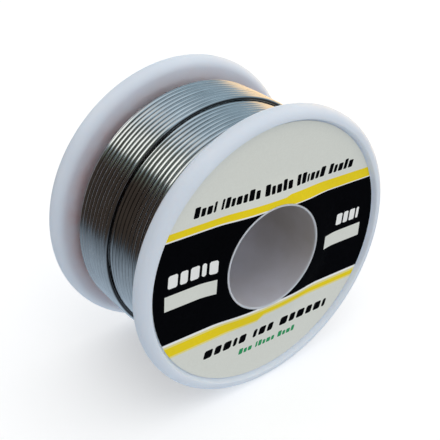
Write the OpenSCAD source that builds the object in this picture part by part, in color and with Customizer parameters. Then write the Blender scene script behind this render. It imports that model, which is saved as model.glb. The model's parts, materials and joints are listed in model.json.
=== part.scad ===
// Spool of flux-cored solder wire.
// The spool's axis runs along Y and the labelled flange faces -Y.
// The origin is the centre of the bore, halfway between the two outer faces.
// All sizes are in millimetres.

/* [Spool] */
// Outside diameter of both flanges
flange_d = 43; // [43:0.5:46]
// Overall width across the two rims
spool_w = 24.6; // [24.6:0.1:26]
// Thickness of a flange at its rim
flange_t = 3; // [2.8:0.1:3]
// Radius that rounds both edges of a rim
rim_round = 1.3; // [0.8:0.1:1.3]
// Diameter of the bore for a spindle
bore_d = 15.5; // [15:0.1:15.7]
// Outside diameter of the hub tube under the wire
hub_d = 19; // [18.6:0.1:19]
// Outside diameter of the hub's spigot inside the front flange
spigot_d = 17.5; // [17.3:0.1:17.8]

/* [Face] */
// Depth of the dish in each outer face
dish_depth = 0.8; // [0.4:0.1:1.2]
// Diameter of the flat floor of the dish
dish_floor_d = 39.3; // [39.2:0.1:39.6]
// Diameter of the dish where it meets the rim
dish_mouth_d = 39.9; // [39.8:0.1:40.2]
// Diameter at which the floor starts to rise towards the bore
ramp_d = 24; // [20:0.5:26]
// Outside diameter of the thin lip round the bore
lip_d = 16; // [15.9:0.05:16.1]
// How far the dish still lies below the lip where it reaches it
lip_step = 0.2; // [0.1:0.05:0.3]
// Chamfer at each mouth of the bore
bore_chamfer = 0.1; // [0.05:0.05:0.1]

/* [Label] */
// Outside diameter of the paper label
label_d = 39; // [38:0.1:39.1]
// Diameter of the hole in the label
label_hole_d = 16.1; // [16.1:0.1:18]
// Thickness of the paper and its glue
label_t = 0.12; // [0.08:0.01:0.2]

/* [Wire] */
// Diameter of the solder wire
wire_d = 0.8; // [0.78:0.01:0.8]
// Diameter of the flux core inside the wire
flux_d = 0.3; // [0.2:0.05:0.4]
// Distance from one turn to the next along the axis
turn_pitch = 0.805; // [0.8:0.001:0.805]
// Distance from one layer to the next
layer_pitch = 0.73; // [0.7:0.01:0.73]
// Number of whole layers
full_layers = 12; // [9:1:12]
// Turns in a whole layer
layer_turns = 22; // [20:1:22]
// Place along the axis of the middle of the whole layers
winding_y = -0.1; // [-0.1:0.05:0.1]
// Turns that the unfinished top layer leaves out beside the rear flange
top_left_out = 2; // [0:1:4]
// Turns of the top layer
top_turns = 9; // [6:1:14]
// Place of the cut end round the axis, measured from +X towards -Z
end_start = 20; // [0:5:60]
// Angle that the part turn at the outer end of the wire covers
end_angle = 60; // [30:5:75]

/* [Hidden] */

round_sides = 180;
wire_sides = 24;
past = 1;

half_w = spool_w / 2;
rim_r = flange_d / 2;
rim_centre_r = rim_r - rim_round;
inner_face = half_w - flange_t;
bore_r = bore_d / 2;
hub_r = hub_d / 2;
spigot_r = spigot_d / 2;
wire_r = wire_d / 2;

first_layer_r = hub_r + wire_r;
last_full_r = first_layer_r + (full_layers - 1) * layer_pitch;
top_layer_r = last_full_r + layer_pitch;
// Neighbouring layers lie half a turn apart, so each turn rests between two turns of the layer below.
half_span = (layer_turns - 1) * turn_pitch / 2;
nest_shift = turn_pitch / 4;
last_full_first_y = winding_y - nest_shift - half_span;
last_full_end_y = winding_y - nest_shift + half_span;
below_end_y = winding_y + nest_shift + half_span;
top_first_y = below_end_y - top_left_out * turn_pitch;
top_last_y = top_first_y - (top_turns - 1) * turn_pitch;
end_turn_y = top_last_y - turn_pitch;

// Turns a section drawn as [distance from axis, place along axis] round the Y axis.
module revolve(start = 0, angle = 360) {
    rotate([-90, 0, 0])
        rotate([0, 0, start])
            rotate_extrude(angle = angle, $fn = round_sides)
                children();
}

// Section of a flange whose outer face is at +Y, from the radius from_r to the rounded rim.
module flange_section(from_r) {
    difference() {
        union() {
            translate([from_r, inner_face])
                square([rim_centre_r - from_r, flange_t]);
            translate([rim_centre_r, inner_face + rim_round])
                square([rim_round, flange_t - 2 * rim_round]);
            for (edge_y = [inner_face + rim_round, half_w - rim_round])
                translate([rim_centre_r, edge_y])
                    circle(r = rim_round, $fn = 48);
        }
        dish_section();
    }
}

// Section of the shallow dish that is cut in an outer face at +Y.
module dish_section() {
    polygon([
        [lip_d / 2, half_w + past],
        [lip_d / 2, half_w - lip_step],
        [ramp_d / 2, half_w - dish_depth],
        [dish_floor_d / 2, half_w - dish_depth],
        [dish_mouth_d / 2, half_w],
        [dish_mouth_d / 2, half_w + past]
    ]);
}

// Section of the bore's chamfer at the face at +Y.
module bore_chamfer_section() {
    polygon([
        [bore_r - past, half_w + past],
        [bore_r - past, half_w - bore_chamfer],
        [bore_r, half_w - bore_chamfer],
        [bore_r + bore_chamfer, half_w],
        [bore_r + bore_chamfer, half_w + past]
    ]);
}

// Rear flange and hub tube in one moulding; its thinner spigot runs out through the front flange.
module rear_flange_and_hub() {
    color("ghostwhite")
        revolve()
            difference() {
                union() {
                    flange_section(bore_r);
                    translate([bore_r, -inner_face])
                        square([hub_r - bore_r, 2 * inner_face]);
                    translate([bore_r, -half_w])
                        square([spigot_r - bore_r, flange_t]);
                }
                bore_chamfer_section();
                mirror([0, 1]) {
                    bore_chamfer_section();
                    dish_section();
                }
            }
}

// Front flange, pressed on the spigot up to the shoulder of the hub.
module front_flange() {
    color("ghostwhite")
        revolve()
            mirror([0, 1])
                flange_section(spigot_r);
}

// Printed paper ring that lies in the dish of the front flange and covers the joint round the spigot.
module front_label() {
    lip_side_y = half_w - lip_step;
    floor_y = half_w - dish_depth;
    ramp_slope = (floor_y - lip_side_y) / (ramp_d - lip_d) * 2;
    hole_edge_y = lip_side_y + ramp_slope * (label_hole_d - lip_d) / 2;
    color("beige")
        revolve()
            mirror([0, 1])
                polygon([
                    [label_hole_d / 2, hole_edge_y],
                    [ramp_d / 2, floor_y],
                    [label_d / 2, floor_y],
                    [label_d / 2, floor_y + label_t],
                    [ramp_d / 2, floor_y + label_t],
                    [label_hole_d / 2, hole_edge_y + label_t]
                ]);
}

// Row of wire sections: count turns, one turn_pitch apart, ending at last_y on the rear side.
module turns_section(count, radius, last_y) {
    for (turn = [0 : count - 1])
        translate([radius, last_y - turn * turn_pitch])
            circle(r = wire_r, $fn = wire_sides);
}

// All the whole turns of the wire as one closed ring with the ribbed outside of its two top layers.
module solder_winding() {
    below_r = last_full_r - layer_pitch;
    color("silver")
        revolve()
            union() {
                translate([hub_r, last_full_first_y - wire_r])
                    square([below_r - hub_r, below_end_y - last_full_first_y + 2 * wire_r]);
                translate([below_r - past, last_full_first_y])
                    square([layer_pitch + past, last_full_end_y - last_full_first_y]);
                translate([last_full_r - past, top_last_y])
                    square([layer_pitch + past, top_first_y - top_last_y]);
                translate([below_r, below_end_y])
                    circle(r = wire_r, $fn = wire_sides);
                turns_section(layer_turns, last_full_r, last_full_end_y);
                turns_section(top_turns, top_layer_r, top_first_y);
            }
}

// Last part of a turn, from the end of the winding to the cut end of the wire; a tube round the flux.
module solder_outer_end() {
    color("silver")
        revolve(end_start, end_angle)
            translate([top_layer_r, end_turn_y])
                difference() {
                    circle(r = wire_r, $fn = wire_sides);
                    circle(d = flux_d, $fn = wire_sides);
                }
}

// Flux that fills the middle of the outer end of the wire.
module flux_core() {
    color("goldenrod")
        revolve(end_start, end_angle)
            translate([top_layer_r, end_turn_y])
                circle(d = flux_d, $fn = wire_sides);
}

rear_flange_and_hub();
front_flange();
front_label();
solder_winding();
solder_outer_end();
flux_core();
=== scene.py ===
"""Spool of solder wire: the looks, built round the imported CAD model.

Sizes in the tables below are in millimetres, and objects are in metres.
The spool's axis is Y, its labelled flange faces -Y, and it stands on its rims with Z up.
"""

import json
import math

import bpy
import numpy as np
from mathutils import Matrix, Vector
from mathutils.geometry import delaunay_2d_cdt


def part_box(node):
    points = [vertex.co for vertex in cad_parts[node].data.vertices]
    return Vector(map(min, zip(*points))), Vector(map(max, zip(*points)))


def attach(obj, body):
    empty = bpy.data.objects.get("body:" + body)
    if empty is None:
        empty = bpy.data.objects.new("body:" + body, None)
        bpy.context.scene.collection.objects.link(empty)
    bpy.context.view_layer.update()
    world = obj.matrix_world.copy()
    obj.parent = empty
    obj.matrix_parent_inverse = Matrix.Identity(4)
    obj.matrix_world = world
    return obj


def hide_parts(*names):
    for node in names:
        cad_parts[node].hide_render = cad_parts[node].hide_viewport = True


MM = 0.001

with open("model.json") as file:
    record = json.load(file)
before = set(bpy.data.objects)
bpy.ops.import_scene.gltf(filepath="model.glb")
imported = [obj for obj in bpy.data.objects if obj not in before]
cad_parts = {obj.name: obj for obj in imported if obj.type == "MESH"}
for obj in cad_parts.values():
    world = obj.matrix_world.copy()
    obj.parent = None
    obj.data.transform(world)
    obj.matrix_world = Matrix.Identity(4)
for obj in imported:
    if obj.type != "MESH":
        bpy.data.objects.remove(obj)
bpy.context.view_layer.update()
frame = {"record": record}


# ---------------------------------------------------------------- camera

CAMERA_AT = (-63.38, -81.97, 65.19)
CAMERA_AZIMUTH = -37.79
CAMERA_ELEVATION = 32.18
CAMERA_LENS = 68.59
SENSOR_WIDTH = 36.0


def make_camera():
    azimuth, elevation = math.radians(CAMERA_AZIMUTH), math.radians(CAMERA_ELEVATION)
    back = Vector((
        math.sin(azimuth) * math.cos(elevation),
        -math.cos(azimuth) * math.cos(elevation),
        math.sin(elevation),
    ))
    right = Vector((math.cos(azimuth), math.sin(azimuth), 0))
    up = back.cross(right)
    data = bpy.data.cameras.new("camera")
    data.sensor_width = SENSOR_WIDTH
    data.lens = CAMERA_LENS
    data.clip_start = 0.005
    data.clip_end = 20
    camera = bpy.data.objects.new("camera", data)
    turn = Matrix((right, up, back)).transposed().to_4x4()
    camera.matrix_world = Matrix.Translation(Vector(CAMERA_AT) * MM) @ turn
    bpy.context.scene.collection.objects.link(camera)
    bpy.context.scene.camera = camera


make_camera()


# ---------------------------------------------------------------- sizes

def in_mm(metres):
    """A length of the CAD model in millimetres, rounded to clear the error of its single-precision mesh."""
    return round(metres / MM, 3)


rear_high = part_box("rear_flange_and_hub")[1]
front_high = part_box("front_flange")[1]
label_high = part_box("front_label")[1]
bore_mount = next(mount for mount in frame["record"]["mounts"] if mount["name"] == "bore")

# Spool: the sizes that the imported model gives.
HALF_W = in_mm(rear_high.y)
INNER_FACE = in_mm(-front_high.y)
RIM_R = in_mm(rear_high.z)
BORE_R = bore_mount["dims"]["r_mm"]
DISH_DEPTH = in_mm(rear_high.y + label_high.y)
LABEL_R = in_mm(label_high.x)

# Spool: the rest of the sizes, the same as in the CAD model's source.
RIM_ROUND = 1.3
HUB_R = 9.5
SPIGOT_R = 8.75
LIP_R = 8.0
LIP_STEP = 0.2
DISH_FLOOR_R = 19.65
DISH_MOUTH_R = 19.95
DISH_RAMP_END_R = 12.6
BORE_CHAMFER = 0.1
LABEL_HOLE_R = 8.05
LABEL_T = 0.12

# Wire, as in the CAD model's source.
WIRE_D = 0.8
FLUX_D = 0.3
TURN_PITCH = 0.805
LAYER_PITCH = 0.73
FULL_LAYERS = 12
LAYER_TURNS = 22
WINDING_Y = -0.1
TOP_LEFT_OUT = 2
TOP_TURNS = 9
FIRST_LAYER_R = HUB_R + WIRE_D / 2
LAST_FULL_R = FIRST_LAYER_R + (FULL_LAYERS - 1) * LAYER_PITCH
TOP_LAYER_R = LAST_FULL_R + LAYER_PITCH
TURN_START = 80.0
END_ANGLE = 60.0


# ---------------------------------------------------------------- meshes

def smoothstep(t):
    t = np.clip(t, 0, 1)
    return t * t * (3 - 2 * t)


def on_bends(bends, place):
    """Value at a place on a line through the bends, each of them (place, value)."""
    return float(np.interp(place, [b[0] for b in bends], [b[1] for b in bends]))


def link_piece(name, verts, faces, materials, face_slots=None, sharp_above=38.0):
    """Mesh object with smooth faces that keeps its edges sharp above an angle in degrees.

    verts are in millimetres.
    """
    mesh = bpy.data.meshes.new(name)
    mesh.from_pydata((np.asarray(verts, float) * MM).tolist(), [], faces)
    for material in materials:
        mesh.materials.append(material)
    if face_slots is not None:
        mesh.polygons.foreach_set("material_index", face_slots)
    mesh.validate()
    mesh.shade_smooth()
    mesh.set_sharp_from_angle(angle=math.radians(sharp_above))
    mesh.update()
    piece = bpy.data.objects.new(name, mesh)
    bpy.context.scene.collection.objects.link(piece)
    return piece


# A side longer than LONG_SIDE gets rows about ROW_SPACING apart, and a row HELD_END from each of its ends.
LONG_SIDE = 0.5
HELD_END = 0.06
ROW_SPACING = 1.5


def fillet_profile(corners, steps=8):
    """Closed outline through corners (radius, out, rounding), with each corner rounded.

    "out" is a distance from the middle of the spool along its axis. The rows of long sides hold them flat.
    """
    points = []
    count = len(corners)
    for i in range(count):
        before, here, after = (np.array(corners[(i + k) % count][:2], float) for k in (-1, 0, 1))
        rounding = corners[i][2]
        if rounding <= 0:
            points.append(here)
            continue
        a = (before - here) / np.linalg.norm(before - here)
        b = (after - here) / np.linalg.norm(after - here)
        half = math.acos(np.clip(a @ b, -1, 1)) / 2
        reach = rounding / math.tan(half)
        middle = here + (a + b) / np.linalg.norm(a + b) * rounding / math.sin(half)
        start = here + a * reach - middle
        end = here + b * reach - middle
        turn = math.atan2(start[0] * end[1] - start[1] * end[0], start @ end)
        for k in range(steps + 1):
            c, s = math.cos(turn * k / steps), math.sin(turn * k / steps)
            points.append(middle + np.array([start[0] * c - start[1] * s, start[0] * s + start[1] * c]))
    held = []
    for p, q in zip(points, points[1:] + points[:1]):
        length = np.linalg.norm(q - p)
        held.append(p)
        if length > LONG_SIDE:
            rows = int(length / ROW_SPACING) + 1
            held.append(p + (q - p) * HELD_END / length)
            held += [p + (q - p) * k / rows for k in range(1, rows)]
            held.append(q - (q - p) * HELD_END / length)
    return np.array(held)


LATHE_SIDES = 256


def lathe(profile, sides=LATHE_SIDES):
    """Vertices and faces of a closed outline [(radius, place along Y)] turned round the Y axis."""
    angles = np.arange(sides) * 2 * math.pi / sides
    radius, along = profile[:, 0][:, None], profile[:, 1][:, None]
    verts = np.stack([
        radius * np.cos(angles), along + 0 * angles, radius * np.sin(angles)
    ], axis=2).reshape(-1, 3)
    rows = len(profile)
    faces = []
    for i in range(rows):
        j = (i + 1) % rows
        for k in range(sides):
            m = (k + 1) % sides
            faces.append((i * sides + k, i * sides + m, j * sides + m, j * sides + k))
    return verts, faces


def outward(verts, faces):
    """The faces, all turned over if the closed surface encloses a negative volume."""
    p = np.asarray(verts, float)
    volume = 0.0
    for f in faces:
        for k in range(1, len(f) - 1):
            volume += p[f[0]] @ np.cross(p[f[k]], p[f[k + 1]])
    return faces if volume > 0 else [tuple(reversed(f)) for f in faces]


# ---------------------------------------------------------------- materials

class Shader:
    """A material with a Principled shader, and short calls that add nodes to it."""

    def __init__(self, name):
        self.material = bpy.data.materials.new(name)
        self.material.use_nodes = True
        self.tree = self.material.node_tree
        self.tree.nodes.clear()
        self.output = self.tree.nodes.new("ShaderNodeOutputMaterial")
        self.main = self.tree.nodes.new("ShaderNodeBsdfPrincipled")
        self.link(self.main.outputs["BSDF"], self.output.inputs["Surface"])
        self.place = self.tree.nodes.new("ShaderNodeTexCoord").outputs["Object"]

    def link(self, source, target):
        self.tree.links.new(source, target)

    def set(self, **values):
        for name, value in values.items():
            self.main.inputs[name.replace("_", " ")].default_value = value

    def noise(self, size_mm, detail=3.0, rough=0.5, at=None):
        node = self.tree.nodes.new("ShaderNodeTexNoise")
        node.inputs["Scale"].default_value = 1 / (size_mm * MM)
        node.inputs["Detail"].default_value = detail
        node.inputs["Roughness"].default_value = rough
        self.link(at or self.place, node.inputs["Vector"])
        return node.outputs["Fac"]

    def remap(self, value, low, high, to_low, to_high):
        node = self.tree.nodes.new("ShaderNodeMapRange")
        ends = {"From Min": low, "From Max": high, "To Min": to_low, "To Max": to_high}
        for name, number in ends.items():
            node.inputs[name].default_value = number
        self.link(value, node.inputs["Value"])
        return node.outputs["Result"]

    def mix(self, factor, a, b):
        node = self.tree.nodes.new("ShaderNodeMix")
        node.data_type = "RGBA"
        for socket, value in ((node.inputs[6], a), (node.inputs[7], b)):
            if isinstance(value, tuple):
                socket.default_value = (*value, 1)
            else:
                self.link(value, socket)
        self.link(factor, node.inputs[0])
        return node.outputs[2]

    def over(self, length, start_mm, end_mm, at_start, at_end):
        """Goes from one value to another while a length goes from start_mm to end_mm."""
        return self.remap(length, start_mm * MM, end_mm * MM, at_start, at_end)

    def feed(self, sockets, values):
        """Sets each socket to its value, or links it where the value comes from another node."""
        for socket, value in zip(sockets, values):
            if isinstance(value, (int, float)):
                socket.default_value = value
            else:
                self.link(value, socket)

    def math(self, operation, a, b=0.0):
        node = self.tree.nodes.new("ShaderNodeMath")
        node.operation = operation
        self.feed(node.inputs, (a, b))
        return node.outputs[0]

    def product(self, first, *others):
        for other in others:
            first = self.math("MULTIPLY", first, other)
        return first

    def from_axis(self, x, z):
        """Distance from the spool's axis."""
        return self.math("SQRT", self.math("ADD", self.math("MULTIPLY", x, x), self.math("MULTIPLY", z, z)))

    def split(self, vector):
        node = self.tree.nodes.new("ShaderNodeSeparateXYZ")
        self.link(vector, node.inputs[0])
        return node.outputs

    def join(self, x, y, z):
        node = self.tree.nodes.new("ShaderNodeCombineXYZ")
        self.feed(node.inputs, (x, y, z))
        return node.outputs[0]

    def bump(self, height, depth_mm, strength=1.0, after=None):
        node = self.tree.nodes.new("ShaderNodeBump")
        node.inputs["Distance"].default_value = depth_mm * MM
        node.inputs["Strength"].default_value = strength
        self.link(height, node.inputs["Height"])
        if after is not None:
            self.link(after, node.inputs["Normal"])
        return node.outputs["Normal"]


# The painted shade near the wire is full up to the first radius and ends at the second.
SHADE_NEAR_WIRE_R = 18.2
SHADE_NEAR_WIRE_END_R = 21.1


def plastic_material(name, light, shade, wire_shade_colour, bore_shade_colours):
    """Moulded plastic, a little translucent, with painted shade near the wire on the flanges' inner faces,
    tinted pink like a reflection of the wire.

    The last argument gives the bore's painted shade: its colour high up near the front, and its colour low
    down or far inside.
    """
    s = Shader(name)
    clean = s.mix(s.remap(s.noise(9.0, 2.0), 0.35, 0.65, 0, 1), light, shade)
    x, y, z = s.split(s.place)[0:3]
    radius = s.from_axis(x, z)
    out = s.math("ABSOLUTE", y)
    # Painted shade on the inner faces near the winding, tinted like the wire's reflection, blotchy and
    # weaker on top.
    near_wire = s.over(radius, SHADE_NEAR_WIRE_R, SHADE_NEAR_WIRE_END_R, 1, 0)
    between_flanges = s.over(out, INNER_FACE - 0.1, INNER_FACE + 0.5, 1, 0)
    blotchy = s.remap(s.noise(2.5, 3.0), 0.3, 0.7, 0.6, 1.0)
    outside_hub = s.over(radius, HUB_R - 0.9, HUB_R - 0.3, 0, 1)
    less_on_top = s.over(z, 10, 19, 1, 0.5)
    painted_wire_shade = s.product(near_wire, between_flanges, blotchy, outside_hub, less_on_top)
    # The bore is painted with shade: dark high up near the front, lighter low down and far inside, and a
    # little uneven.
    inside_mouth = s.over(out, HALF_W - 0.4, HALF_W + 0.4, 1, 0)
    in_bore = s.product(s.over(radius, BORE_R + 0.05, BORE_R + 0.45, 1, 0), inside_mouth)
    low = s.over(z, -1.0, -7.8, 0, 0.9)
    deep = s.over(y, -4.0, 3.0, 0, 0.35)
    uneven = s.remap(s.noise(3.5, 3.0), 0.35, 0.65, -0.08, 0.08)
    through = s.mix(s.math("ADD", s.math("ADD", low, deep), uneven), *bore_shade_colours)
    s.link(s.mix(in_bore, s.mix(painted_wire_shade, clean, wire_shade_colour), through), s.main.inputs["Base Color"])
    s.link(s.remap(s.noise(1.6, 4.0), 0.3, 0.7, 0.34, 0.46), s.main.inputs["Roughness"])
    peel = s.bump(s.noise(0.9, 2.0), 0.01)
    s.link(s.bump(s.noise(0.16, 2.0), 0.002, after=peel), s.main.inputs["Normal"])
    s.set(IOR=1.5, Specular_IOR_Level=0.35)
    s.set(Subsurface_Weight=0.6, Subsurface_Radius=(1.0, 0.85, 0.8), Subsurface_Scale=2.2 * MM)
    return s.material


def print_material(name, light, shade, roughness, shine):
    """Ink or bare paper, with the fibres of the paper showing through."""
    s = Shader(name)
    fibres = s.noise(0.25, 5.0, 0.65)
    s.link(s.mix(s.remap(fibres, 0.3, 0.7, 0, 1), light, shade), s.main.inputs["Base Color"])
    worn = s.remap(s.noise(0.6, 3.0), 0.3, 0.7, roughness - 0.07, roughness + 0.07)
    s.link(worn, s.main.inputs["Roughness"])
    s.link(s.bump(fibres, 0.004), s.main.inputs["Normal"])
    s.set(IOR=1.45, Specular_IOR_Level=shine)
    return s.material


# Radius near that of the visible turns. It turns an angle round the spool into a length along the wire.
SEEN_WIRE_R = 17.0


def wire_material():
    """Bright drawn solder with fine streaks along it, small bends and painted shade in the grooves between
    the turns.
    """
    s = Shader("drawn_solder")
    x, y, z = s.split(s.place)[0:3]
    angle = s.math("ARCTAN2", z, x)
    reach = s.from_axis(x, z)

    def drawn_out(share):
        """The place on the wire, with lengths along the wire cut to a share."""
        return s.join(s.math("MULTIPLY", angle, SEEN_WIRE_R * MM * share), y, reach)

    streaks = s.noise(0.1, 2.0, 0.5, at=drawn_out(0.04))
    patches = s.noise(2.2, 2.0)
    shade = s.math("ADD", s.math("MULTIPLY", streaks, 0.5), s.math("MULTIPLY", patches, 0.5))
    bright = s.mix(s.remap(shade, 0.35, 0.65, 0, 1), (0.40, 0.40, 0.40), (0.47, 0.47, 0.465))
    # Painted shade in the grooves between the turns and under the top layer's step. In a layer, 0 is the
    # level at which its turns touch and 1 is its outside.
    above_contact = s.math("SUBTRACT", reach, LAST_FULL_R * MM)
    in_layer = s.math("DIVIDE", s.math("MODULO", above_contact, LAYER_PITCH * MM), WIRE_D / 2 * MM)
    between_turns = s.remap(in_layer, 0.15, 0.62, 1, 0)
    under_top_layer = s.remap(in_layer, 1.25, 1.55, 0, 1)
    groove_shade = s.math("MAXIMUM", between_turns, under_top_layer)
    s.link(s.mix(groove_shade, bright, (0.06, 0.06, 0.06)), s.main.inputs["Base Color"])
    s.link(s.remap(shade, 0.35, 0.65, 0.11, 0.06), s.main.inputs["Roughness"])
    bends = s.noise(1.2, 1.0, 0.5, at=drawn_out(0.15))
    s.link(s.bump(streaks, 0.0012, after=s.bump(bends, 0.15)), s.main.inputs["Normal"])
    s.set(Metallic=1.0)
    return s.material


def flux_material():
    s = Shader("rosin")
    grain = s.noise(0.05, 3.0)
    s.link(s.mix(grain, (0.62, 0.34, 0.07), (0.78, 0.52, 0.16)), s.main.inputs["Base Color"])
    s.link(s.bump(grain, 0.004), s.main.inputs["Normal"])
    s.set(Roughness=0.3)
    return s.material


# ---------------------------------------------------------------- wire

def polar(angle, radius, along):
    """Point at an angle in degrees from +X towards -Z, at a radius, and a place along Y."""
    a = math.radians(angle)
    return np.array([radius * math.cos(a), along, -radius * math.sin(a)])


def wire_turns():
    """(radius, place along Y, layer) of every turn, in the order in which they were wound."""
    turns = []
    rear_end = WINDING_Y + (LAYER_TURNS - 1) / 2 * TURN_PITCH
    for layer in range(FULL_LAYERS):
        # Neighbouring layers lie half a turn apart and run opposite ways.
        nest = TURN_PITCH / 4 * (-1 if layer % 2 else 1)
        places = [rear_end + nest - k * TURN_PITCH for k in range(LAYER_TURNS)]
        if layer % 2:
            places.reverse()
        turns += [(FIRST_LAYER_R + layer * LAYER_PITCH, y, layer) for y in places]
    top = rear_end + TURN_PITCH / 4 - TOP_LEFT_OUT * TURN_PITCH
    turns += [(TOP_LAYER_R, top - k * TURN_PITCH, FULL_LAYERS) for k in range(TOP_TURNS + 1)]
    return turns


# Share of a turn in which the wire crosses over to the next turn, and how far it rises as it does.
CROSSOVER_SHARE = 1 / 12
CROSSOVER_RISE = 0.09

# Steps in a turn that shows, in a turn just below those, in a hidden turn, and in the outer end.
SEEN_STEPS = 96
COVERED_STEPS = 64
HIDDEN_STEPS = 24
END_STEPS = 24
LOW_SIDES = 6
HIGH_SIDES = 12

# How far the turns lean, the angle at which they lie nearest the rear, and how far each turn wanders.
LEAN = 0.4
LEAN_TOWARDS = 140.0
WANDER = 0.011
RIPPLES = ((0.02, 6), (0.014, 11))


def wire_line():
    """Centre points of the wire, and the number of sides of the tube at each."""
    random = np.random.default_rng(11)
    turns = wire_turns()
    points, sides = [], []
    for i, (radius, along, layer) in enumerate(turns):
        last = i == len(turns) - 1
        visible = layer >= FULL_LAYERS - 1
        covered = layer == FULL_LAYERS - 2
        if last:
            steps = END_STEPS
            span = END_ANGLE
            next_radius, next_along = radius, along
        else:
            steps = SEEN_STEPS if visible else COVERED_STEPS if covered else HIDDEN_STEPS
            span = 360.0
            next_radius, next_along = turns[i + 1][:2]
        wander = random.normal(0, WANDER, 2) if visible else (0, 0)
        phase, *ripple_phases = random.uniform(0, 2 * math.pi, 1 + len(RIPPLES))
        for k in range(steps + (1 if last else 0)):
            t = k / steps
            move = 0 if last else float(smoothstep((t - 1 + CROSSOVER_SHARE) / CROSSOVER_SHARE))
            r = radius + (next_radius - radius) * move
            y = along + (next_along - along) * move
            if visible and not last:
                settled = math.sin(math.pi * t)
                wave = math.sin(2 * math.pi * t + phase)
                ripple = sum(
                    height * math.sin(2 * math.pi * waves * t + start)
                    for (height, waves), start in zip(RIPPLES, ripple_phases)
                )
                r += settled * (wander[0] * 0.5 * wave + ripple)
                y += settled * wander[1] * wave
            if visible:
                r += CROSSOVER_RISE * math.sin(math.pi * move)
            angle = TURN_START - span * t
            # The turns lean to the rear on one side and to the front on the other, less near the flanges.
            y += LEAN * math.cos(math.radians(angle - LEAN_TOWARDS)) * (1 - (y / INNER_FACE) ** 2)
            points.append(polar(angle, r, y))
            sides.append(HIGH_SIDES if visible or covered else LOW_SIDES)
    return np.array(points), sides


def ring(centre, tangent, radius, sides):
    """Circle of points round a centre, the first on the side away from the spool's axis."""
    out = centre * np.array([1, 0, 1])
    out = out - tangent * (out @ tangent)
    out /= np.linalg.norm(out)
    side = np.cross(tangent, out)
    angles = np.arange(sides) * 2 * math.pi / sides
    return centre + radius * (np.cos(angles)[:, None] * out + np.sin(angles)[:, None] * side)


def tangents(points):
    steps = np.gradient(points, axis=0)
    return steps / np.linalg.norm(steps, axis=1)[:, None]


def tube(points, sides, radius, first=0):
    """Rings, side faces, and the number of each ring's first point, counted from first.

    The number of sides may double from one ring to the next.
    """
    verts, faces, starts = [], [], []
    start = first
    for centre, tangent, count in zip(points, tangents(points), sides):
        verts.append(ring(centre, tangent, radius, count))
        starts.append(start)
        start += count
    for (a, n), (b, m) in zip(zip(starts, sides), zip(starts[1:], sides[1:])):
        for k in range(n):
            nxt = (k + 1) % n
            if n == m:
                faces.append((a + k, a + nxt, b + nxt, b + k))
            else:
                faces.append((a + k, a + nxt, b + 2 * k + 1))
                faces.append((a + k, b + 2 * k + 1, b + 2 * k))
                faces.append((a + nxt, b + (2 * k + 2) % m, b + 2 * k + 1))
    return np.concatenate(verts), faces, starts


# The wire and the flux are drawn a little thin, so that neighbours press into each other less.
WIRE_DRAWN = 0.98
FLUX_DRAWN = 0.99


def make_wire():
    points, sides = wire_line()
    verts, faces, starts = tube(points, sides, WIRE_D / 2 * WIRE_DRAWN)
    faces.append(tuple(range(LOW_SIDES)))
    # The flux's hole runs back from the cut end along the last part turn.
    bore_points = points[-END_STEPS - 1:][::-1]
    bore_sides = [HIGH_SIDES] * len(bore_points)
    bore, bore_faces, bore_starts = tube(bore_points, bore_sides, FLUX_D / 2, first=len(verts))
    # The hole's rings run the other way round, because they are drawn backwards along the wire.
    outer = [starts[-1] + k for k in range(HIGH_SIDES)]
    inner = [bore_starts[0] + (-k) % HIGH_SIDES for k in range(HIGH_SIDES)]
    for k in range(HIGH_SIDES):
        nxt = (k + 1) % HIGH_SIDES
        faces.append((outer[k], outer[nxt], inner[nxt], inner[k]))
    faces += bore_faces
    faces.append(tuple(bore_starts[-1] + k for k in range(HIGH_SIDES)))
    verts = np.concatenate([verts, bore])
    wire = link_piece("solder_wire", verts, faces, [wire_material()], sharp_above=50)
    return wire, points


def make_flux(wire_points):
    """Rosin that fills the hole in the end of the wire and stops just short of the cut."""
    points = wire_points[-END_STEPS - 1:].copy()
    points[-1] = points[-2] + (points[-1] - points[-2]) * 0.9
    sides = [HIGH_SIDES] * len(points)
    verts, faces, starts = tube(points, sides, FLUX_D / 2 * FLUX_DRAWN)
    faces.append(tuple(starts[0] + k for k in range(HIGH_SIDES)))
    tip = len(verts)
    push = (points[-1] - points[-2]) / np.linalg.norm(points[-1] - points[-2])
    verts = np.concatenate([verts, [points[-1] + push * 0.03]])
    for k in range(HIGH_SIDES):
        faces.append((starts[-1] + k, starts[-1] + (k + 1) % HIGH_SIDES, tip))
    return link_piece("flux_core_fill", verts, faces, [flux_material()], sharp_above=60)


solder_wire, wire_points = make_wire()
flux = make_flux(wire_points)
for piece, slot, nodes in (
    (solder_wire, "solder_alloy", ("solder_winding", "solder_outer_end")),
    (flux, "rosin_flux", ("flux_core",)),
):
    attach(piece, "root")
    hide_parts(*nodes)


# ---------------------------------------------------------------- spool

def dish_out(radius):
    """How far out the floor of the dish lies at a radius: it sinks from the lip to the flat in a soft S."""
    sink = smoothstep((radius - LIP_R) / (DISH_RAMP_END_R - LIP_R))
    return HALF_W - LIP_STEP - (DISH_DEPTH - LIP_STEP) * sink


RAMP_STEPS = 20


def dish_corners(from_r):
    """Corners of the dish's floor from a radius to its wall, without the wall's top."""
    radii = np.linspace(from_r, DISH_RAMP_END_R, RAMP_STEPS)
    corners = [(r, float(dish_out(r)), 0) for r in radii]
    corners.append((DISH_FLOOR_R, HALF_W - DISH_DEPTH, 0.2))
    return corners


# Where the draft of the rear flange's inner face starts, and the rounding there.
DRAFT_START_R = 18.6
DRAFT_ROUND = 7.0


def rim_corners(inner_round, draft):
    """Corners from the dish's wall over the rim to the inner face.

    The inner face falls back by the draft towards the rim.
    """
    corners = [
        (DISH_MOUTH_R, HALF_W, 0.14),
        (RIM_R, HALF_W, RIM_ROUND),
        (RIM_R, INNER_FACE + draft, inner_round),
    ]
    if draft:
        corners.append((DRAFT_START_R, INNER_FACE, DRAFT_ROUND))
    return corners


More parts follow.
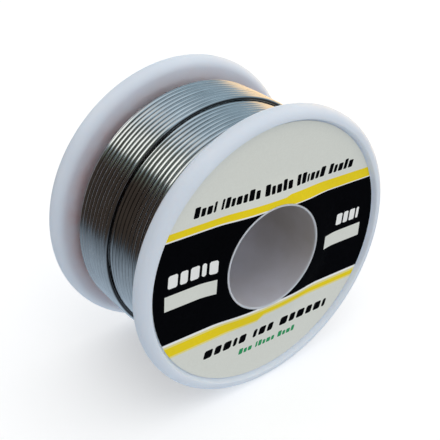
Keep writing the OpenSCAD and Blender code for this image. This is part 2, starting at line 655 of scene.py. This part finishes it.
def make_front_flange(material):
    rim = rim_corners(inner_round=RIM_ROUND, draft=0)
    corners = dish_corners(SPIGOT_R) + rim + [(SPIGOT_R, INNER_FACE, 0)]
    profile = fillet_profile(corners)
    profile[:, 1] *= -1
    verts, faces = lathe(profile)
    return link_piece("front_flange_moulding", verts, outward(verts, faces), [material])


def make_rear_moulding(material):
    lip = [(BORE_R, HALF_W, BORE_CHAMFER), (LIP_R, HALF_W, 0.1), (LIP_R, HALF_W - LIP_STEP, 0)]
    rear = lip + dish_corners(LIP_R)[1:] + rim_corners(inner_round=1.5, draft=0.15)
    spigot = [(r, -float(dish_out(r)), 0) for r in np.linspace(SPIGOT_R, LIP_R, 6)]
    front_lip = [(LIP_R, -HALF_W, 0.1), (BORE_R, -HALF_W, BORE_CHAMFER)]
    hub = [(HUB_R, INNER_FACE, 0), (HUB_R, -INNER_FACE, 0.1), (SPIGOT_R, -INNER_FACE, 0)]
    profile = fillet_profile(rear + hub + spigot + front_lip)
    verts, faces = lathe(profile)
    return link_piece("rear_flange_and_hub_moulding", verts, outward(verts, faces), [material])


spool_plastic = plastic_material(
    "moulded_plastic",
    light=(0.74, 0.80, 0.88),
    shade=(0.71, 0.77, 0.85),
    # Painted shade near the wire on the inner faces, then the bore's painted shade from dark high up to
    # light low down.
    wire_shade_colour=(0.60, 0.41, 0.42),
    bore_shade_colours=((0.40, 0.368, 0.35), (0.60, 0.60, 0.665)),
)
front_flange = make_front_flange(spool_plastic)
rear_moulding = make_rear_moulding(spool_plastic)
for piece, node in ((front_flange, "front_flange"), (rear_moulding, "rear_flange_and_hub")):
    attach(piece, "root")
    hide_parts(node)


# ---------------------------------------------------------------- label

# The label is stuck on a little turned, in degrees.
ARTWORK_ROLL = -3.7

# Edges of the printed stripes, as (place to the right, height) of each bend, in the artwork's own frame.
STRIPE_EDGES = {
    "yellow_top": [(-30, 8.9), (1.3, 8.9), (2.2, 9.15), (30, 8.85)],
    "yellow_foot": [(-30, 7.9), (0, 7.9), (0.01, 7.52), (30, 7.42)],
    "band_top": [(-30, 7.7), (0, 7.7), (0.01, 7.38), (30, 7.28)],
    "band_foot": [(-30, -7.75), (30, -7.75)],
    "low_pale_top": [(-30, -8.15), (30, -8.15)],
    "low_top": [(-30, -8.5), (30, -8.5)],
    "low_foot": [(-30, -10.1), (-1.8, -9.95), (-0.8, -9.2), (30, -9.2)],
    "low_pale_foot": [(-30, -10.4), (-1.8, -10.25), (-0.8, -9.5), (30, -9.5)],
}

# The edge below, the edge above and the ink of each stripe, from the top down.
STRIPES = [
    ("yellow_foot", "yellow_top", "yellow_ink"),
    ("band_top", "yellow_foot", "white_ink"),
    ("band_foot", "band_top", "black_ink"),
    ("low_pale_top", "band_foot", "white_ink"),
    ("low_foot", "low_top", "yellow_ink"),
    ("low_pale_foot", "low_pale_top", "pale_yellow_ink"),
]

# Rows of plain blocks stand for the printed words: ink, left, right, foot, height, lean, how high the low
# blocks of a group are beside the tall ones, and the number of blocks in each group.
BLOCK_ROWS = [
    ("black_ink", -13.6, 14.2, 9.95, 1.5, 0.2, 0.76, (4, 7, 5, 6, 5)),
    ("black_ink", -11.0, 12.4, -13.2, 1.35, 0.25, 1.0, (5, 3, 6)),
    ("green_ink", -4.6, 6.2, -15.2, 0.95, 0.2, 0.76, (3, 5, 4)),
    ("white_ink", -17.2, -9.5, 0.9, 1.95, 0.05, 1.0, (5,)),
    ("white_ink", 12.2, 16.8, 0.9, 1.8, 0.05, 1.0, (4,)),
]

# Widths of the blocks, taken in turn, and the gaps, all in shares of the widest block.
BLOCK_WIDTHS = (1.0, 0.8, 0.95, 0.45, 0.85, 0.7, 1.0, 0.75)
BLOCK_GAP = 0.28
WORD_GAP = 0.95
BLOCK_BEVEL = 0.14

# Empty windows in the black band: left, right, foot and top.
WINDOWS = [(-17.65, -9.6, -2.42, -0.13), (10.0, 17.4, -2.3, -0.1)]

# Colour, second colour, roughness and shine of the paper and the inks.
INKS = {
    "paper": ((0.80, 0.81, 0.74), (0.76, 0.77, 0.70), 0.6, 0.25),
    "black_ink": ((0.001, 0.001, 0.0015), (0.0025, 0.0025, 0.0035), 0.6, 0.01),
    "yellow_ink": ((0.95, 0.74, 0.012), (0.90, 0.68, 0.01), 0.6, 0.15),
    "pale_yellow_ink": ((0.90, 0.80, 0.30), (0.86, 0.76, 0.28), 0.6, 0.15),
    "white_ink": ((0.95, 0.95, 0.92), (0.90, 0.90, 0.86), 0.6, 0.25),
    "green_ink": ((0.02, 0.30, 0.10), (0.03, 0.36, 0.13), 0.6, 0.15),
}
INK_NAMES = list(INKS)


def edge_height(name, u):
    """Height of a stripe's edge at a place to the right of the middle."""
    return on_bends(STRIPE_EDGES[name], u)


def cut_corners(corners, cut):
    """The outline with a short bevel in place of each corner."""
    outline = []
    count = len(corners)
    for i in range(count):
        here = np.array(corners[i])
        for other in (corners[i - 1], corners[(i + 1) % count]):
            towards = np.array(other) - here
            outline.append(tuple(here + towards * cut / np.linalg.norm(towards)))
    return outline


def block_shapes():
    """(ink, corners) of every printed block and window."""
    shapes = [("paper", [(a, c), (b, c), (b, d), (a, d)]) for a, b, c, d in WINDOWS]
    for ink, left, right, foot, height, lean, low, words in BLOCK_ROWS:
        widths = [
            [BLOCK_WIDTHS[(3 * i + k) % len(BLOCK_WIDTHS)] for k in range(n)]
            for i, n in enumerate(words)
        ]
        units = sum(sum(w) + BLOCK_GAP * (len(w) - 1) for w in widths) + WORD_GAP * (len(words) - 1)
        unit = (right - left - lean * height) / units
        u = left
        for i, word in enumerate(widths):
            for k, width in enumerate(word):
                tall = height * (1.0 if k == 0 or (2 * i + k) % 4 == 3 else low)
                skew, wide = lean * tall, width * unit
                top = foot + tall
                corners = [(u, foot), (u + wide, foot), (u + wide + skew, top), (u + skew, top)]
                shapes.append((ink, cut_corners(corners, BLOCK_BEVEL * unit)))
                u += wide + BLOCK_GAP * unit
            u += (WORD_GAP - BLOCK_GAP) * unit
    return shapes


def inside(corners, u, v):
    """Whether a point lies in a convex outline that runs anticlockwise."""
    for (a, b), (c, d) in zip(corners, corners[1:] + corners[:1]):
        if (c - a) * (v - b) - (d - b) * (u - a) < 0:
            return False
    return True


def ink_at(u, v, shapes):
    """Name of the ink at a point of the artwork."""
    for ink, corners in shapes:
        if inside(corners, u, v):
            return ink
    for below, above, ink in STRIPES:
        if edge_height(below, u) < v <= edge_height(above, u):
            return ink
    return "paper"


EDGE_STEPS = 160
HALVINGS = 50


def stripe_runs(name):
    """Parts of a stripe's edge that lie on the paper ring, with their ends exactly on the ring's edges."""

    def on_paper(u):
        return LABEL_HOLE_R < math.hypot(u, edge_height(name, u)) < LABEL_R

    def crossing(a, b):
        """Place between a and b at which the edge runs on or off the paper."""
        for _ in range(HALVINGS):
            middle = (a + b) / 2
            if on_paper(middle) == on_paper(a):
                a = middle
            else:
                b = middle
        return (a + b) / 2

    grid = np.linspace(-LABEL_R - 0.5, LABEL_R + 0.5, EDGE_STEPS + 1)
    bends = [b[0] for b in STRIPE_EDGES[name] if abs(b[0]) < LABEL_R and on_paper(b[0])]
    grid = np.sort(np.concatenate([grid, bends]))
    runs, run = [], []
    for a, b in zip(grid, grid[1:]):
        if on_paper(a):
            run.append(a)
        if on_paper(a) != on_paper(b):
            edge = crossing(a, b)
            run.append(edge)
            if on_paper(a):
                runs.append(run)
                run = []
    return [[(u, edge_height(name, u)) for u in run] for run in runs]


def circle_points(radius, count, fixed):
    """Points round a circle, with the fixed points among them in place of those that lie close."""
    even = [k * 2 * math.pi / count for k in range(count)]
    kept = [math.atan2(v, u) % (2 * math.pi) for u, v in fixed]
    clear = 0.45 * 2 * math.pi / count

    def apart(a, b):
        return abs((a - b + math.pi) % (2 * math.pi) - math.pi) > clear

    angles = [a for a in even if all(apart(a, b) for b in kept)]
    return [(radius * math.cos(a), radius * math.sin(a)) for a in sorted(angles + kept)]


# Points round the label's outer edge, round its hole and round each ring between them.
# The rings let the paper follow the dish's floor, and lie close together where the floor bends.
OUTER_POINTS = 300
HOLE_POINTS = 160
RING_POINTS = 120
RING_RADII = [*np.arange(8.55, 13.2, 0.4), 14.2, 15.4, 16.6, 17.8, 18.9]
BLOCK_EDGE_STEP = 0.6


def label_artwork():
    """Points and the edges between them: the label's two edges, the printed edges and some loose points."""
    runs = [run for name in STRIPE_EDGES for run in stripe_runs(name)]
    ends = [p for run in runs for p in (run[0], run[-1])]
    middle = (LABEL_R + LABEL_HOLE_R) / 2
    outer = circle_points(LABEL_R, OUTER_POINTS, [p for p in ends if math.hypot(*p) > middle])
    inner = circle_points(LABEL_HOLE_R, HOLE_POINTS, [p for p in ends if math.hypot(*p) < middle])
    points, edges = [], []

    def add(line, closed):
        first = len(points)
        points.extend(line)
        count = len(line)
        edges.extend((first + k, first + k + 1) for k in range(count - 1))
        if closed:
            edges.append((first + count - 1, first))

    add(outer, True)
    add(inner, True)
    for run in runs:
        add(run, False)
    for _, corners in block_shapes():
        line = []
        for a, b in zip(corners, corners[1:] + corners[:1]):
            steps = max(1, round(math.dist(a, b) / BLOCK_EDGE_STEP))
            for k in range(steps):
                line.append((a[0] + (b[0] - a[0]) * k / steps, a[1] + (b[1] - a[1]) * k / steps))
        add(line, True)
    for radius in RING_RADII:
        points.extend(circle_points(radius, RING_POINTS, []))
    return points, edges


# How far the paper's back lies above the dish's floor.
GLUE_T = 0.005


def make_label():
    """Paper ring whose top is cut into faces along the printed edges, so that each face has one ink."""
    points, edges = label_artwork()
    merge_within = 1e-5
    flat_verts, _, tris, *_ = delaunay_2d_cdt([Vector(p) for p in points], edges, [], 0, merge_within)
    flat = np.array([(p.x, p.y) for p in flat_verts])
    radii = np.hypot(flat[:, 0], flat[:, 1])
    on_hole = radii < LABEL_HOLE_R + 1e-3
    shapes = block_shapes()
    kept, slots = [], []
    for tri in tris:
        # A triangle with all its corners on the hole's edge lies in the hole.
        if all(on_hole[k] for k in tri):
            continue
        u, v = flat[list(tri)].mean(axis=0)
        kept.append(tuple(tri))
        slots.append(INK_NAMES.index(ink_at(u, v, shapes)))
    roll = math.radians(ARTWORK_ROLL)
    x = flat[:, 0] * math.cos(roll) - flat[:, 1] * math.sin(roll)
    z = flat[:, 0] * math.sin(roll) + flat[:, 1] * math.cos(roll)
    floor = dish_out(radii)
    top = np.stack([x, -(floor + LABEL_T), z], axis=1)
    back = np.stack([x, -(floor + GLUE_T), z], axis=1)
    count = len(flat)
    faces = list(kept) + [tuple(count + k for k in reversed(tri)) for tri in kept]
    slots += [0] * len(kept)
    # An edge that only one triangle uses lies on the outline, and carries a face of the paper's thickness.
    uses = dict.fromkeys(edge for tri in kept for edge in zip(tri, tri[1:] + tri[:1]))
    for a, b in uses:
        if (b, a) not in uses:
            faces.append((b, a, count + a, count + b))
            slots.append(0)
    verts = np.concatenate([top, back])
    materials = [print_material(name, *INKS[name]) for name in INK_NAMES]
    return link_piece("printed_label", verts, outward(verts, faces), materials, slots, 40)


label = make_label()
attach(label, "root")
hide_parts("front_label")


# ---------------------------------------------------------------- stage and light

# The floor and the domes of light. Their lengths are in metres.
FLOOR_R = 3.0
DOME_R = 8.0
FLOOR_SIDES = 64
FLOOR_GAP = 0.00002


def floor_material():
    s = Shader("pale_floor")
    s.link(s.mix(s.noise(30.0, 2.0), (0.84, 0.85, 0.86), (0.82, 0.83, 0.84)), s.main.inputs["Base Color"])
    s.set(Roughness=0.9, Specular_IOR_Level=0.1, Emission_Color=(1, 1, 1, 1), Emission_Strength=0.34)
    return s.material


def make_floor():
    """Pale floor that the camera sees. The studio's own ground lights the spool from below."""
    height = -RIM_R * MM - FLOOR_GAP
    angles = np.linspace(0, 2 * math.pi, FLOOR_SIDES + 1)[:-1]
    rim = [(FLOOR_R * math.cos(a), FLOOR_R * math.sin(a), height) for a in angles]
    mesh = bpy.data.meshes.new("floor")
    mesh.from_pydata(rim, [], [tuple(range(FLOOR_SIDES))])
    mesh.materials.append(floor_material())
    floor = bpy.data.objects.new("floor", mesh)
    floor.visible_glossy = False
    floor.visible_diffuse = False
    bpy.context.scene.collection.objects.link(floor)


# Light of the studio by direction. Azimuth 0 is straight behind the spool (+Y), 90 is to its right (+X).
SKY = (0.25, 0.34, 0.41)
SKY_FROM = -6
GROUND_TO = -18
GROUND = (0.80, 1.0, 1.21)
GROUND_BY_ELEVATION = [
    (-90, 0.46), (-70, 0.39), (-60, 0.315), (-50, 0.27), (-40, 0.235), (-30, 0.18), (GROUND_TO, 0.06),
]
STUDIO_GAIN = 2.4

# Soft cards, each painted over the ones before it: colour, left and right azimuth, lower and upper edge as
# (azimuth, elevation) of each bend, and how far the edges fade, in degrees.
CARDS = [
    ((0.42, 0.51, 0.58), -180, 180, [(0, 70)], [(0, 95)], 14),
    ((0.42, 0.50, 0.57), 135, 195, [(0, 48)], [(0, 95)], 26),
    ((0.18, 0.25, 0.30), -5, 112, [(0, 25)], [(0, 80)], 14),
    ((0.84, 0.63, 0.40), 53, 104, [(0, 2)], [(0, 30)], 14),
    ((0.90, 0.62, 0.34), 34, 100, [(0, -24)], [(0, 0)], 12),
    ((0.030, 0.024, 0.020), -178, -3, [(0, -18)],
     [(-180, 40), (-165, 50), (-135, 61), (-105, 50), (-60, 38), (-20, 28), (0, 2)], 10),
    ((0.088, 0.112, 0.092), -172, -70, [(0, 34)], [(-165, 50), (-135, 61), (-105, 51), (-70, 43)], 9),
    ((0.44, 0.45, 0.45), -116, 4, [(-105, 54), (-60, 46), (-20, 30), (0, 16)], [(0, 84)], 12),
    ((0.65, 0.72, 0.74), -88, -22, [(-90, 50), (-75, 46), (-45, 38), (-15, 20)], [(0, 80)], 7),
    ((0.97, 0.98, 0.92), -84, -24, [(-90, 51), (-75, 46), (-45, 38), (-15, 20)], [(-90, 66), (-15, 56)], 6),
]


# Light on the matt parts, below and above, and how it grows upwards, to the right and to the front.
FILL_BELOW = (0.54, 0.575, 0.62)
FILL_LEVEL = 0.68
FILL_UPWARDS = 0.23
FILL_TO_RIGHT = 0.34
FILL_TO_FRONT = 0.22


def studio_colour(azimuth, elevation):
    """Light that the shiny parts reflect: ground and sky, with the cards over them."""
    ground = on_bends(GROUND_BY_ELEVATION, elevation)
    up = float(smoothstep((elevation - GROUND_TO) / (SKY_FROM - GROUND_TO)))
    colour = np.array(GROUND) * ground * (1 - up) + np.array(SKY) * up
    for tint, left, right, lower, upper, fade in CARDS:
        middle, half = (left + right) / 2, (right - left) / 2
        turn = (azimuth - middle + 180) % 360 - 180
        here = middle + turn
        beside = (abs(turn) - half) * math.cos(math.radians(elevation)) if half < 180 else -90
        below = on_bends(lower, here) - elevation
        above = elevation - on_bends(upper, here)
        share = 1.0
        for past in (beside, below, above):
            share *= 1 - float(smoothstep(past / fade + 0.5))
        colour = colour * (1 - share) + np.array(tint) * share
    return colour * STUDIO_GAIN


def fill_colour(azimuth, elevation):
    """Even light for the matt parts: white from above, a little blue from below."""
    up = float(smoothstep((elevation + 12) / 24))
    bright = FILL_LEVEL + FILL_UPWARDS * max(0.0, math.sin(math.radians(elevation))) ** 1.5
    to_right = math.cos(math.radians(elevation)) * math.sin(math.radians(azimuth))
    to_front = -math.cos(math.radians(elevation)) * math.cos(math.radians(azimuth))
    bright *= 1 + FILL_TO_RIGHT * to_right + FILL_TO_FRONT * to_front
    return np.array(FILL_BELOW) * (1 - up) + np.ones(3) * bright * up


def glow_material(name, attribute_name):
    """Material that glows with the colours of an attribute of its mesh."""
    material = bpy.data.materials.new(name)
    material.use_nodes = True
    material.cycles.emission_sampling = "NONE"
    tree = material.node_tree
    tree.nodes.clear()
    source = tree.nodes.new("ShaderNodeAttribute")
    source.attribute_name = attribute_name
    glow = tree.nodes.new("ShaderNodeEmission")
    output = tree.nodes.new("ShaderNodeOutputMaterial")
    tree.links.new(source.outputs["Color"], glow.inputs["Color"])
    tree.links.new(glow.outputs[0], output.inputs["Surface"])
    return material


def make_dome(name, colour_at, seen_by):
    """Large glowing sphere round the spool, seen only by one kind of ray: diffuse or glossy."""
    rows, columns = 90, 180
    verts, faces, colours = [], [], []
    for i in range(rows + 1):
        for k in range(columns):
            e, a = math.pi * (i / rows - 0.5), 2 * math.pi * k / columns
            direction = (math.sin(a) * math.cos(e), math.cos(a) * math.cos(e), math.sin(e))
            verts.append([DOME_R * d for d in direction])
            colours.append((*colour_at(math.degrees(a), math.degrees(e)), 1.0))
    for i in range(rows):
        for k in range(columns):
            m = (k + 1) % columns
            faces.append((i * columns + k, i * columns + m, (i + 1) * columns + m, (i + 1) * columns + k))
    mesh = bpy.data.meshes.new(name)
    mesh.from_pydata(verts, [], faces)
    attribute = mesh.color_attributes.new("light", "FLOAT_COLOR", "POINT")
    attribute.data.foreach_set("color", np.array(colours, np.float32).ravel())
    mesh.materials.append(glow_material(name, attribute.name))
    dome = bpy.data.objects.new(name, mesh)
    dome.visible_camera = False
    dome.visible_shadow = False
    dome.visible_diffuse = seen_by == "diffuse"
    dome.visible_glossy = seen_by == "glossy"
    bpy.context.scene.collection.objects.link(dome)


def make_world():
    """White backdrop that only the camera sees."""
    world = bpy.data.worlds.new("white_backdrop")
    world.use_nodes = True
    background = world.node_tree.nodes["Background"]
    background.inputs["Color"].default_value = (1, 1, 1, 1)
    background.inputs["Strength"].default_value = 1.0
    seen_by = world.cycles_visibility
    seen_by.diffuse = seen_by.glossy = seen_by.transmission = seen_by.scatter = False
    bpy.context.scene.world = world


def make_softbox(name, place, size, power):
    """Round white lamp that faces the spool and isn't seen in the wire."""
    data = bpy.data.lights.new(name, "AREA")
    data.shape = "DISK"
    data.size = size
    data.energy = power
    light = bpy.data.objects.new(name, data)
    light.location = place
    light.rotation_mode = "QUATERNION"
    light.rotation_quaternion = Vector(place).to_track_quat("Z", "Y")
    light.visible_glossy = False
    bpy.context.scene.collection.objects.link(light)


make_floor()
make_dome("reflected_studio", studio_colour, "glossy")
make_dome("fill_light", fill_colour, "diffuse")
make_world()
make_softbox("key", place=(-0.1, -0.35, 0.9), size=0.6, power=0.8)
bpy.context.scene.view_settings.view_transform = "Standard"
